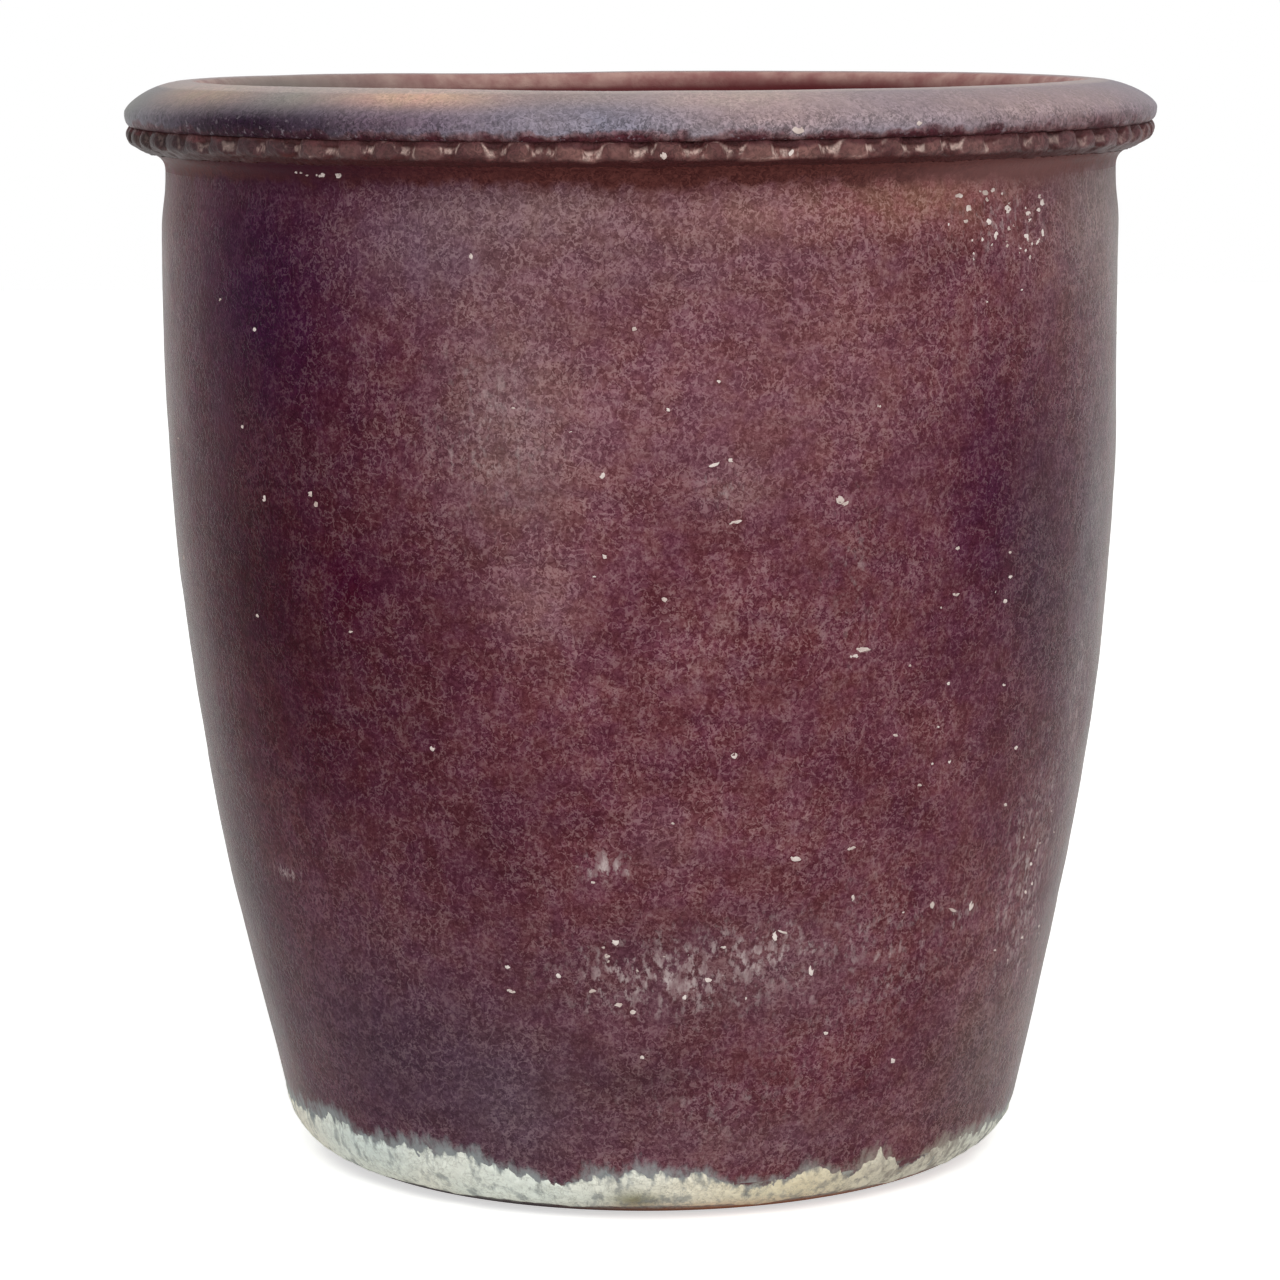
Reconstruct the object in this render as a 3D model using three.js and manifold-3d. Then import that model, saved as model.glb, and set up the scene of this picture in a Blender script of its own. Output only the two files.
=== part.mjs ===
// Large stoneware planter, raised in courses and joined with slip: a floor slab, three wall courses,
// a rolled rim and a thumb-notched strip under the rim.
// Millimetres, +Z up, origin at the middle of the foot's underside.
import * as THREE from 'three';
import { mergeVertices } from 'three/addons/utils/BufferGeometryUtils.js';
import Module from 'manifold-3d';

const wasm = await Module();
wasm.setup();

// Foot and heel
const FOOT_RADIUS = 168; // outside of the flat ring the pot stands on
const FOOT_RING_WIDTH = 30;
const FOOT_DISH_DEPTH = 4; // rise of the underside from the ring to the drain hole
const HEEL_RADIUS = 37; // round between the foot and the wall
const HEEL_FLARE = 0.235; // how far the wall leans out for each millimetre up, above the heel
const DRAIN_RADIUS = 17;

// Wall, raised in three courses
const LOWER_COURSE_TOP = 150; // above the ground
const MIDDLE_COURSE_HEIGHT = 197;
const UPPER_COURSE_HEIGHT = 193;
const BELLY_RADIUS = 260.8;
const BELLY_DROP = 35; // widest part of the wall below the neck
const LOWER_FULLNESS = 0.43; // share of the wall over which it keeps the lean of the heel
const UPPER_FULLNESS = 0.4; // share of it that stays near upright below the belly
const NECK_DEPTH = 2.4; // how far the neck draws in from the belly
const WALL_THICKNESS = 22;
const FLOOR_THICKNESS = 27;
const INNER_FILLET = 24; // between the wall and the floor

// Joints between the pieces, wet clay pressed together with slip
const SLIP_GAP = 0.3;
const RIDGE_HEIGHT = 6; // ridge along the top of each course, taken up by a groove in the next
const SEAT_DEPTH = 6; // how deep the lowest course sits in the edge of the floor slab

// Rolled rim
const COVE_HEIGHT = 9.7; // hollow between the neck and the strip
const COVE_DEPTH = 7.6;
const NOSE_UNDERCUT = 6.8; // underside of the nose below its middle
const CREST_RISE = 15.1; // top of the rim above the middle of the nose
const CREST_INSET = 9; // crest outside the rim's inner face

// Notched strip
const STRIP_HEIGHT = 13.8;
const STRIP_THICKNESS = 12.5;
const STRIP_UNDERCUT = 6.4; // rise of the strip's underside from the cove to its face
const STRIP_SETBACK = 1.5; // face of the strip behind the nose
const STRIP_GROOVE = 0.8; // open groove between the strip and the nose
const NOTCH_COUNT = 74;
const PRESS_VARIATION = 0.1; // the presses go deeper and shallower by this share

// Thumb that presses the strip's upper edge, and finger that holds against it from below
const THUMB_HALF_WIDTH = 8.5;
const THUMB_HALF_DEPTH = 8.5;
const THUMB_HALF_HEIGHT = 8;
const THUMB_OUTSET = 3.5; // middle of the thumb in front of the strip's face
const THUMB_LIFT = 1; // middle of the thumb above the strip's top
const FINGER_HALF_WIDTH = 6.8;
const FINGER_HALF_DEPTH = 8.5;
const FINGER_HALF_HEIGHT = 6.6;
const FINGER_SETBACK = 2; // middle of the finger behind the strip's face
const FINGER_DROP = 6.6; // middle of the finger below the lower edge of the face

// Fineness of the round surfaces
const SEGMENTS = 48;
const CURVE_STEPS = 5;
const TIP_SEGMENTS = 8;

const glaze = { color: 0x5c353b, roughness: 0.45, metalness: 0 };
const rimGlaze = { color: 0x6e5a5f, roughness: 0.42, metalness: 0 };
const clay = { color: 0x8a5a44, roughness: 0.8, metalness: 0 };

const point = (radius, height) => new THREE.Vector2(radius, height);

// Heights of the joints
const seatHeight = FLOOR_THICKNESS - SEAT_DEPTH;
const lowerJoint = LOWER_COURSE_TOP;
const upperJoint = lowerJoint + MIDDLE_COURSE_HEIGHT;
const neckHeight = upperJoint + UPPER_COURSE_HEIGHT;

// Outside of the pot from the top of the heel to the neck
const heelAngle = Math.atan(HEEL_FLARE);
const heelTop = point(
  FOOT_RADIUS + HEEL_RADIUS * Math.cos(heelAngle),
  HEEL_RADIUS - HEEL_RADIUS * Math.sin(heelAngle),
);
const bellyHeight = neckHeight - BELLY_DROP;
const wallSpan = bellyHeight - heelTop.y;
const leanSpan = LOWER_FULLNESS * wallSpan;
const wallCurve = new THREE.CubicBezierCurve(
  heelTop,
  point(heelTop.x + HEEL_FLARE * leanSpan, heelTop.y + leanSpan),
  point(BELLY_RADIUS, bellyHeight - UPPER_FULLNESS * wallSpan),
  point(BELLY_RADIUS, bellyHeight),
);
const neckRadius = BELLY_RADIUS - NECK_DEPTH;
const neckCurve = new THREE.CubicBezierCurve(
  point(BELLY_RADIUS, bellyHeight),
  point(BELLY_RADIUS, bellyHeight + BELLY_DROP / 2),
  point(neckRadius, neckHeight - BELLY_DROP / 2),
  point(neckRadius, neckHeight),
);

// Radius, at one height, of a curve that rises all the way
function radiusOn(curve, height) {
  let low = 0;
  let high = 1;
  for (let step = 0; step < 40; step += 1) {
    const middle = (low + high) / 2;
    if (curve.getPoint(middle).y < height) low = middle;
    else high = middle;
  }
  return curve.getPoint(low).x;
}

function outerRadius(height) {
  if (height < heelTop.y) {
    const down = HEEL_RADIUS - height;
    return FOOT_RADIUS + Math.sqrt(HEEL_RADIUS ** 2 - down ** 2);
  }
  return radiusOn(height < bellyHeight ? wallCurve : neckCurve, height);
}

const innerRadius = (height) => outerRadius(height) - WALL_THICKNESS;

// Points along the wall from one height to another
function wallPoints(radiusAt, from, to, steps) {
  const points = [];
  for (let step = 0; step <= steps; step += 1) {
    const height = from + ((to - from) * step) / steps;
    points.push(point(radiusAt(height), height));
  }
  return points;
}

// Ridge along the middle half of a joint, from the outside of the wall to the inside
function ridgePoints(joint, lift) {
  const middle = outerRadius(joint) - WALL_THICKNESS / 2;
  const half = WALL_THICKNESS / 4;
  return [
    point(middle + half, joint + lift),
    point(middle, joint + lift + RIDGE_HEIGHT),
    point(middle - half, joint + lift),
  ];
}

// A ring turned from one closed profile, run up the outside and down the inside
function turned(name, profile, look) {
  const geometry = new THREE.LatheGeometry([...profile, profile[0].clone()], SEGMENTS);
  geometry.rotateX(Math.PI / 2);
  const mesh = new THREE.Mesh(geometry, new THREE.MeshStandardMaterial(look));
  mesh.name = name;
  return mesh;
}

// Floor slab: lower half of the heel, a stepped edge for the wall to sit on, and the drain hole
const filletFoot = innerRadius(FLOOR_THICKNESS) - INNER_FILLET;

function floorSlab() {
  const heel = [];
  for (let step = 0; step <= CURVE_STEPS; step += 1) {
    const height = seatHeight * (step / CURVE_STEPS) ** 2;
    heel.push(point(outerRadius(height), height));
  }
  return turned('floor_slab', [
    point(DRAIN_RADIUS, FOOT_DISH_DEPTH),
    point(FOOT_RADIUS - FOOT_RING_WIDTH, 0),
    ...heel,
    point(filletFoot, seatHeight),
    point(filletFoot, FLOOR_THICKNESS),
    point(DRAIN_RADIUS, FLOOR_THICKNESS),
  ], clay);
}

// First course: sits on the slab's edge and fills the corner inside
function lowerCourse() {
  const base = seatHeight + SLIP_GAP;
  const toe = filletFoot + SLIP_GAP;
  const filletTop = FLOOR_THICKNESS + INNER_FILLET;
  const fillet = new THREE.QuadraticBezierCurve(
    point(innerRadius(filletTop), filletTop),
    point(innerRadius(FLOOR_THICKNESS), FLOOR_THICKNESS),
    point(toe, FLOOR_THICKNESS),
  );
  return turned('lower_wall_course', [
    point(toe, base),
    ...wallPoints(outerRadius, base, lowerJoint, CURVE_STEPS),
    ...ridgePoints(lowerJoint, 0),
    ...wallPoints(innerRadius, lowerJoint, filletTop, 2),
    ...fillet.getPoints(CURVE_STEPS).slice(1),
  ], glaze);
}

// A course between two joints
function plainCourse(name, bottom, top) {
  const base = bottom + SLIP_GAP;
  return turned(name, [
    ...ridgePoints(bottom, SLIP_GAP).reverse(),
    ...wallPoints(outerRadius, base, top, CURVE_STEPS),
    ...ridgePoints(top, 0),
    ...wallPoints(innerRadius, top, base, 2),
  ], glaze);
}

// Rim and strip meet on a sloping seat, from the cove up to the underside of the nose
const rimInner = neckRadius - WALL_THICKNESS;
const rimBase = neckHeight + SLIP_GAP;
const seatToe = point(neckRadius + COVE_DEPTH, neckHeight + COVE_HEIGHT);
const stripFace = seatToe.x + STRIP_THICKNESS;
const stripTop = seatToe.y + STRIP_HEIGHT;
const noseUnder = stripTop + STRIP_GROOVE;
const nose = point(stripFace + STRIP_SETBACK, noseUnder + NOSE_UNDERCUT);
const crest = point(rimInner + CREST_INSET, nose.y + CREST_RISE);
const seatHead = point(seatToe.x + STRIP_THICKNESS / 2, noseUnder);

function rimRoll() {
  const cove = new THREE.QuadraticBezierCurve(
    point(neckRadius, rimBase),
    point(neckRadius, seatToe.y - COVE_HEIGHT / 4),
    seatToe,
  );
  const noseCurve = new THREE.QuadraticBezierCurve(
    point(nose.x - STRIP_THICKNESS / 3, noseUnder),
    point(nose.x, noseUnder),
    nose,
  );
  const backCurve = new THREE.CubicBezierCurve(
    nose,
    point(nose.x, nose.y + CREST_RISE / 3),
    point((nose.x + crest.x) / 2, crest.y),
    crest,
  );
  const lipCurve = new THREE.QuadraticBezierCurve(
    crest,
    point(rimInner, crest.y),
    point(rimInner, crest.y - CREST_INSET),
  );
  return turned('rim_roll', [
    ...ridgePoints(neckHeight, SLIP_GAP).reverse(),
    ...cove.getPoints(CURVE_STEPS),
    seatHead,
    ...noseCurve.getPoints(CURVE_STEPS),
    ...backCurve.getPoints(CURVE_STEPS).slice(1),
    ...lipCurve.getPoints(CURVE_STEPS).slice(1),
    point(rimInner, rimBase),
  ], rimGlaze);
}

function asSolid(geometry) {
  const bare = geometry.clone();
  bare.deleteAttribute('normal');
  bare.deleteAttribute('uv');
  const merged = mergeVertices(bare, 1e-4);
  return new wasm.Manifold(new wasm.Mesh({
    numProp: 3,
    vertProperties: new Float32Array(merged.attributes.position.array),
    triVerts: new Uint32Array(merged.index.array),
  }));
}

function asGeometry(solid) {
  const result = solid.getMesh();
  const geometry = new THREE.BufferGeometry();
  geometry.setAttribute('position', new THREE.BufferAttribute(result.vertProperties, 3));
  geometry.setIndex(new THREE.BufferAttribute(result.triVerts, 1));
  geometry.computeVertexNormals();
  return geometry;
}

// Rounded tip, pressed into the strip at one place round the pot
function press(place, radius, height, halfSizes) {
  const depth = 1 + PRESS_VARIATION * Math.sin(place * 2.4);
  const tip = new THREE.SphereGeometry(1, TIP_SEGMENTS, TIP_SEGMENTS / 2);
  tip.rotateZ(Math.PI / 2);
  tip.scale(halfSizes.x * depth, halfSizes.y, halfSizes.z * depth);
  tip.translate(radius, 0, height);
  tip.rotateZ((2 * Math.PI * place) / NOTCH_COUNT - Math.PI / 2);
  return asSolid(tip);
}

// Strip under the nose, pinched all round: the thumb scoops its upper edge out, a finger hollows it below,
// and a ledge stays between them with a knob of clay on either side
function notchedBand() {
  const toe = point(seatToe.x + SLIP_GAP, seatToe.y);
  const headShare = STRIP_HEIGHT / (seatHead.y - seatToe.y);
  const head = point(toe.x + (seatHead.x - seatToe.x) * headShare, stripTop);
  const underEdge = seatToe.y + STRIP_UNDERCUT;
  const rounding = STRIP_HEIGHT / 6;
  const band = turned('notched_band', [
    toe,
    point(stripFace - rounding, underEdge - rounding / 4),
    point(stripFace - rounding / 4, underEdge + rounding / 2),
    point(stripFace, underEdge + rounding),
    point(stripFace, stripTop - rounding),
    point(stripFace - rounding, stripTop),
    head,
  ], rimGlaze);
  const thumb = new THREE.Vector3(THUMB_HALF_DEPTH, THUMB_HALF_WIDTH, THUMB_HALF_HEIGHT);
  const finger = new THREE.Vector3(FINGER_HALF_DEPTH, FINGER_HALF_WIDTH, FINGER_HALF_HEIGHT);
  let strip = asSolid(band.geometry);
  for (let place = 0; place < NOTCH_COUNT; place += 1) {
    strip = strip.subtract(press(place, stripFace + THUMB_OUTSET, stripTop + THUMB_LIFT, thumb));
    strip = strip.subtract(press(place, stripFace - FINGER_SETBACK, underEdge - FINGER_DROP, finger));
  }
  band.geometry = asGeometry(strip);
  return band;
}

const planter = new THREE.Group();
planter.name = 'planter';
planter.add(
  floorSlab(),
  lowerCourse(),
  plainCourse('middle_wall_course', lowerJoint, upperJoint),
  plainCourse('upper_wall_course', upperJoint, neckHeight),
  rimRoll(),
  notchedBand(),
);

export default planter;
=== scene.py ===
"""Looks of a large stoneware planter: raised courses, rolled rim, thumb-notched strip and a limed heel."""

import math
import random

import bpy
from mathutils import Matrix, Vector, noise


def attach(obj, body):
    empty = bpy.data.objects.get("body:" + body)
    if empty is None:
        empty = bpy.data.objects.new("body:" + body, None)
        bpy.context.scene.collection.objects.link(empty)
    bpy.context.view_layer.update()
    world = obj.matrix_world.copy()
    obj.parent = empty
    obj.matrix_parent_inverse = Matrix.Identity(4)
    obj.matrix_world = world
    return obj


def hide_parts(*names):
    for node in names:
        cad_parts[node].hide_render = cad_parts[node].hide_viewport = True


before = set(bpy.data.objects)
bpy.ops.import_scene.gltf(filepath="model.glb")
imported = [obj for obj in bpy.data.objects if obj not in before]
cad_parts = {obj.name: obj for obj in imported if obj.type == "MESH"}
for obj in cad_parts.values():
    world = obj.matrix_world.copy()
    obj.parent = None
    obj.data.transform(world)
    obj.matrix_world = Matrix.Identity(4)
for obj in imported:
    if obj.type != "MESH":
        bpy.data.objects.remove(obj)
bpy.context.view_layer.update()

# Sizes of the pot in metres, the same as the solids
FOOT_RADIUS = 0.168
FOOT_RING_WIDTH = 0.030
FOOT_DISH_DEPTH = 0.004
HEEL_RADIUS = 0.037
HEEL_FLARE = 0.235
DRAIN_RADIUS = 0.017
LOWER_JOINT = 0.150
UPPER_JOINT = 0.347
NECK_HEIGHT = 0.540
BELLY_RADIUS = 0.2608
BELLY_HEIGHT = 0.505
LOWER_FULLNESS = 0.43
UPPER_FULLNESS = 0.40
NECK_RADIUS = 0.2584
WALL = 0.022
FLOOR_TOP = 0.027
SEAT_HEIGHT = 0.021
INNER_FILLET = 0.024
COVE_HEIGHT = 0.0097
COVE_DEPTH = 0.0076
STRIP_HEIGHT = 0.0138
STRIP_THICKNESS = 0.0125
STRIP_UNDERCUT = 0.0064
STRIP_SETBACK = 0.0015
STRIP_GROOVE = 0.0008
NOSE_UNDERCUT = 0.0068
CREST_RISE = 0.0151
CREST_INSET = 0.009
NOTCH_COUNT = 74

# Thumb and finger that press the strip: half sizes, and places of their middles off its face and edges
THUMB_HALF_SIZES = (0.0088, 0.0086, 0.0082)
THUMB_OUTSET = 0.0035
THUMB_DROP = 0.0016
FINGER_HALF_SIZES = (0.0088, 0.0074, 0.0068)
FINGER_SETBACK = 0.0020
FINGER_DROP = 0.0084

# Fineness of the meshes
TURNS = 240
STRIP_VOXEL = 0.0011

# What is this pot's own: depth of its dents and ripples, sag of its strip and heap of its crest
DENT_DEPTH = 0.003
RIPPLE_DEPTH = 0.0008
STRIP_SAG = 0.0018
CREST_HEAP = 0.0016

# Camera found from the outline of the pot in the photograph
CAMERA_PLACE = (-0.0002, -2.45, 0.639)
CAMERA_PITCH = math.radians(8.385)
CAMERA_ROLL = math.radians(0.37)
CAMERA_LENS = 125.5

# Studio: a soft key lamp, an even sky, and the floor's own light where the camera sees it
KEY_PLACE = (0.4, -2.6, 2.4)
KEY_TURN = (math.radians(50), 0, math.radians(8))
KEY_SIZE = (2.6, 1.8)
KEY_POWER = 42
SKY_LIGHT = 0.62
FLOOR_GLOW = 0.58


def bezier(corners, steps):
    """Points along a Bezier curve, both ends included."""
    points = []
    for step in range(steps + 1):
        share = step / steps
        level = list(corners)
        while len(level) > 1:
            level = [
                (a[0] + (b[0] - a[0]) * share, a[1] + (b[1] - a[1]) * share)
                for a, b in zip(level, level[1:])
            ]
        points.append(level[0])
    return points


def heel_point(height):
    """Point on the round of the heel."""
    down = HEEL_RADIUS - height
    return (FOOT_RADIUS + math.sqrt(HEEL_RADIUS ** 2 - down ** 2), height)


# Outline of the wall, from the seat on the floor slab to the neck
heel_angle = math.atan(HEEL_FLARE)
heel_top = heel_point(HEEL_RADIUS * (1 - math.sin(heel_angle)))
wall_span = BELLY_HEIGHT - heel_top[1]
lean_span = LOWER_FULLNESS * wall_span
outer_wall = [heel_point(SEAT_HEIGHT + (heel_top[1] - SEAT_HEIGHT) * step / 3) for step in range(3)]
outer_wall += bezier(
    [
        heel_top,
        (heel_top[0] + HEEL_FLARE * lean_span, heel_top[1] + lean_span),
        (BELLY_RADIUS, BELLY_HEIGHT - UPPER_FULLNESS * wall_span),
        (BELLY_RADIUS, BELLY_HEIGHT),
    ],
    64,
)
neck_half = (NECK_HEIGHT - BELLY_HEIGHT) / 2
outer_wall += bezier(
    [
        (BELLY_RADIUS, BELLY_HEIGHT),
        (BELLY_RADIUS, BELLY_HEIGHT + neck_half),
        (NECK_RADIUS, NECK_HEIGHT - neck_half),
        (NECK_RADIUS, NECK_HEIGHT),
    ],
    8,
)[1:]

# Rim: cove, seat of the strip, groove, nose, sloping back, crest and inner lip
rim_inner = NECK_RADIUS - WALL
seat_toe = (NECK_RADIUS + COVE_DEPTH, NECK_HEIGHT + COVE_HEIGHT)
strip_face = seat_toe[0] + STRIP_THICKNESS
strip_top = seat_toe[1] + STRIP_HEIGHT
nose_under = strip_top + STRIP_GROOVE
nose = (strip_face + STRIP_SETBACK, nose_under + NOSE_UNDERCUT)
crest = (rim_inner + CREST_INSET, nose[1] + CREST_RISE)
seat_head = (seat_toe[0] + STRIP_THICKNESS / 2, nose_under)
rim = bezier([(NECK_RADIUS, NECK_HEIGHT), (NECK_RADIUS, seat_toe[1] - COVE_HEIGHT / 4), seat_toe], 7)[1:]
rim += [((seat_toe[0] + seat_head[0]) / 2, (seat_toe[1] + seat_head[1]) / 2), seat_head]
rim += bezier([(nose[0] - STRIP_THICKNESS / 3, nose_under), (nose[0], nose_under), nose], 8)
rim += bezier(
    [nose, (nose[0], nose[1] + CREST_RISE / 3), ((nose[0] + crest[0]) / 2, crest[1]), crest],
    14,
)[1:]
rim += bezier([crest, (rim_inner, crest[1]), (rim_inner, crest[1] - CREST_INSET)], 8)[1:]

# Inside of the wall, down to the fillet and its foot on the floor slab
fillet_top = FLOOR_TOP + INNER_FILLET
inner_wall = [(radius - WALL, height) for radius, height in outer_wall if height > fillet_top][::-2]
floor_side = [radius - WALL for radius, height in outer_wall if height >= FLOOR_TOP][0]
fillet_foot = floor_side - INNER_FILLET
fillet = bezier([inner_wall[-1], (floor_side, FLOOR_TOP), (fillet_foot, FLOOR_TOP)], 8)[1:]
body_outline = outer_wall + rim + inner_wall + fillet + [(fillet_foot, SEAT_HEIGHT)]

# Floor slab with the lower half of the heel
slab_outline = [(DRAIN_RADIUS, FOOT_DISH_DEPTH)]
slab_outline += [(FOOT_RADIUS - FOOT_RING_WIDTH, 0.0)]
slab_outline += [heel_point(SEAT_HEIGHT * (step / 12) ** 2) for step in range(13)]
slab_outline += [(fillet_foot, SEAT_HEIGHT), (fillet_foot, FLOOR_TOP), (DRAIN_RADIUS, FLOOR_TOP)]


def only(piece):
    """Makes one piece the selected and active one."""
    bpy.ops.object.select_all(action="DESELECT")
    piece.select_set(True)
    bpy.context.view_layer.objects.active = piece


def edit(piece):
    """Opens a piece for editing with all of it selected."""
    only(piece)
    bpy.ops.object.mode_set(mode="EDIT")
    bpy.ops.mesh.select_all(action="SELECT")


def close_edit():
    """Merges doubles, turns the faces outwards and leaves edit mode."""
    bpy.ops.mesh.select_all(action="SELECT")
    bpy.ops.mesh.remove_doubles(threshold=1e-6)
    bpy.ops.mesh.normals_make_consistent(inside=False)
    bpy.ops.object.mode_set(mode="OBJECT")


def apply_modifier(piece, kind, **settings):
    """Adds one modifier with its settings and applies it."""
    only(piece)
    modifier = piece.modifiers.new(kind.lower(), kind)
    for key, value in settings.items():
        setattr(modifier, key, value)
    bpy.ops.object.modifier_apply(modifier=modifier.name)


def turned(name, outline, turns):
    """A ring turned from one closed outline: a vertex is drawn along it, then spun about the pot's axis."""
    bpy.ops.object.select_all(action="DESELECT")
    bpy.ops.mesh.primitive_plane_add(size=0.01)
    piece = bpy.context.object
    piece.name = name
    piece.data.name = name
    edit(piece)
    bpy.ops.mesh.merge(type="CENTER")
    bpy.ops.transform.translate(value=(outline[0][0], 0, outline[0][1]))
    for here, there in zip(outline, outline[1:] + outline[:1]):
        step = (there[0] - here[0], 0, there[1] - here[1])
        bpy.ops.mesh.extrude_region_move(TRANSFORM_OT_translate={"value": step})
    bpy.ops.mesh.select_all(action="SELECT")
    bpy.ops.mesh.remove_doubles(threshold=1e-6)
    bpy.ops.mesh.select_all(action="SELECT")
    bpy.ops.mesh.spin(steps=turns, angle=2 * math.pi, center=(0, 0, 0), axis=(0, 0, 1))
    close_edit()
    return piece


def finished(piece, smooth_angle):
    """Smooth shading with sharp corners kept."""
    only(piece)
    bpy.ops.object.shade_smooth_by_angle(angle=math.radians(smooth_angle))
    return piece


def eased(value):
    """Value held between 0 and 1 with soft ends."""
    share = min(1.0, max(0.0, value))
    return share * share * (3 - 2 * share)


def front_angle(place):
    """Angle of a point round the pot in degrees, 0 at the front and growing to the right."""
    return math.degrees(math.atan2(place[0], -place[1]))


# Lean of the handmade pot, as sideways shifts from the foot to the crest
LEAN = (0.0025, 0.0014, 0.0006, -0.0002, -0.0010, -0.0001)
bpy.ops.object.select_all(action="DESELECT")
bpy.ops.object.add(type="LATTICE", location=(0, 0, crest[1] / 2))
lean = bpy.context.object
lean.scale = (0.6, 0.6, crest[1])
lean.data.points_u = 2
lean.data.points_v = 2
lean.data.points_w = len(LEAN)
lean.data.interpolation_type_w = "KEY_CATMULL_ROM"
for index, lattice_point in enumerate(lean.data.points):
    lattice_point.co_deform.x += LEAN[index // 4] / lean.scale.x
bpy.context.view_layer.update()


# Clay is never quite round: soft dents on the wall, finer unevenness, and lumps on the lime
def clouds(name, scale, depth):
    texture = bpy.data.textures.new(name, "CLOUDS")
    texture.noise_scale = scale
    texture.noise_depth = depth
    return texture


dents = clouds("soft_dents", 0.11, 1)
ripple = clouds("fine_unevenness", 0.028, 2)
lumps = clouds("lime_lumps", 0.006, 2)
crumbs = clouds("fleck_crumbs", 0.0013, 2)
crumbs.cloud_type = "COLOR"


def unevenness(piece, texture, strength, group=""):
    """Moves the surface in and out by a soft noise."""
    apply_modifier(
        piece,
        "DISPLACE",
        texture=texture,
        texture_coords="LOCAL",
        strength=strength,
        mid_level=0.5,
        vertex_group=group,
    )


def sag(place):
    """How much of the sag at the front a point takes: the strip and the edge above it hang there."""
    if math.hypot(place[0], place[1]) < NECK_RADIUS:
        return 0.0
    front = max(0.0, math.cos(math.radians(front_angle(place))))
    above = eased((nose[1] - place[2]) / (nose[1] - nose_under))
    return front * above * eased((place[2] - seat_toe[1]) / 0.006)


def heap(place):
    """How much of the heap a point takes: the crest of the rim stands higher on the left."""
    left = -front_angle(place)
    across = eased((left - 2) / 30) * eased((165 - left) / 45)
    return across * eased((place[2] - nose[1]) / (crest[1] - nose[1]))


def loose(place):
    """How uneven a point may be: the heel and the rim are held truer than the wall."""
    return eased((place[2] - 0.03) / 0.05) * (1 - 0.7 * eased((place[2] - 0.47) / 0.07))


def weighted(piece, name, shares):
    """Vertex group with one share for each vertex."""
    group = piece.vertex_groups.new(name=name)
    for index, share in enumerate(shares):
        group.add([index], share, "REPLACE")


def stored(piece, name, values):
    """Keeps one value for each vertex, for the materials to read."""
    piece.data.attributes.new(name, "FLOAT", "POINT").data.foreach_set("value", values)


def shifted(piece, name, share_at, rise):
    """Raises or lowers a piece by its share at each point."""
    weighted(piece, name, [share_at(vertex.co) for vertex in piece.data.vertices])
    apply_modifier(piece, "DISPLACE", direction="Z", strength=rise, mid_level=0, vertex_group=name)


# Wall and rim are thrown as one, made uneven, then parted at the joints of the courses
body = turned("body", body_outline, TURNS)
weighted(body, "raised", [loose(vertex.co) for vertex in body.data.vertices])
unevenness(body, dents, DENT_DEPTH, "raised")
unevenness(body, ripple, RIPPLE_DEPTH, "raised")
shifted(body, "hanging", sag, -STRIP_SAG)
shifted(body, "heaped", heap, CREST_HEAP)
apply_modifier(body, "LATTICE", object=lean)


def course(name, bottom, top):
    """One course cut out of the thrown body, its ends closed."""
    only(body)
    bpy.ops.object.duplicate()
    piece = bpy.context.object
    piece.name = name
    piece.data.name = name
    edit(piece)
    if bottom is not None:
        bpy.ops.mesh.bisect(plane_co=(0, 0, bottom), plane_no=(0, 0, 1), clear_inner=True)
        bpy.ops.mesh.bridge_edge_loops()
        bpy.ops.mesh.select_all(action="SELECT")
    if top is not None:
        bpy.ops.mesh.bisect(plane_co=(0, 0, top), plane_no=(0, 0, 1), clear_outer=True)
        bpy.ops.mesh.bridge_edge_loops()
    close_edit()
    return finished(piece, 40)


lower_course = course("lower_wall_course", None, LOWER_JOINT)
middle_course = course("middle_wall_course", LOWER_JOINT, UPPER_JOINT)
upper_course = course("upper_wall_course", UPPER_JOINT, NECK_HEIGHT)
rim_roll = course("rim_roll", NECK_HEIGHT, None)
bpy.data.objects.remove(body)

floor_slab = turned("floor_slab", slab_outline, TURNS)
apply_modifier(floor_slab, "LATTICE", object=lean)
finished(floor_slab, 40)


# Strip under the nose: a turned strip pinched all round, with the thumb above and a finger below
def presses(reach, height, half_sizes):
    """Rounded tips all round the pot, one for each press, each a little different."""
    chance = random.Random(5)
    tips = []
    for notch in range(NOTCH_COUNT):
        angle = 2 * math.pi * (notch + chance.uniform(-0.1, 0.1)) / NOTCH_COUNT - math.pi / 2
        bpy.ops.object.select_all(action="DESELECT")
        bpy.ops.mesh.primitive_uv_sphere_add(
            segments=20,
            ring_count=14,
            radius=chance.uniform(0.9, 1.12),
            location=(
                reach * math.cos(angle),
                reach * math.sin(angle),
                height + chance.uniform(-0.0008, 0.0008),
            ),
            rotation=(0, 0, angle),
            scale=half_sizes,
        )
        tips.append(bpy.context.object)
    for tip in tips:
        tip.select_set(True)
    bpy.ops.object.join()
    return bpy.context.object


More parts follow.
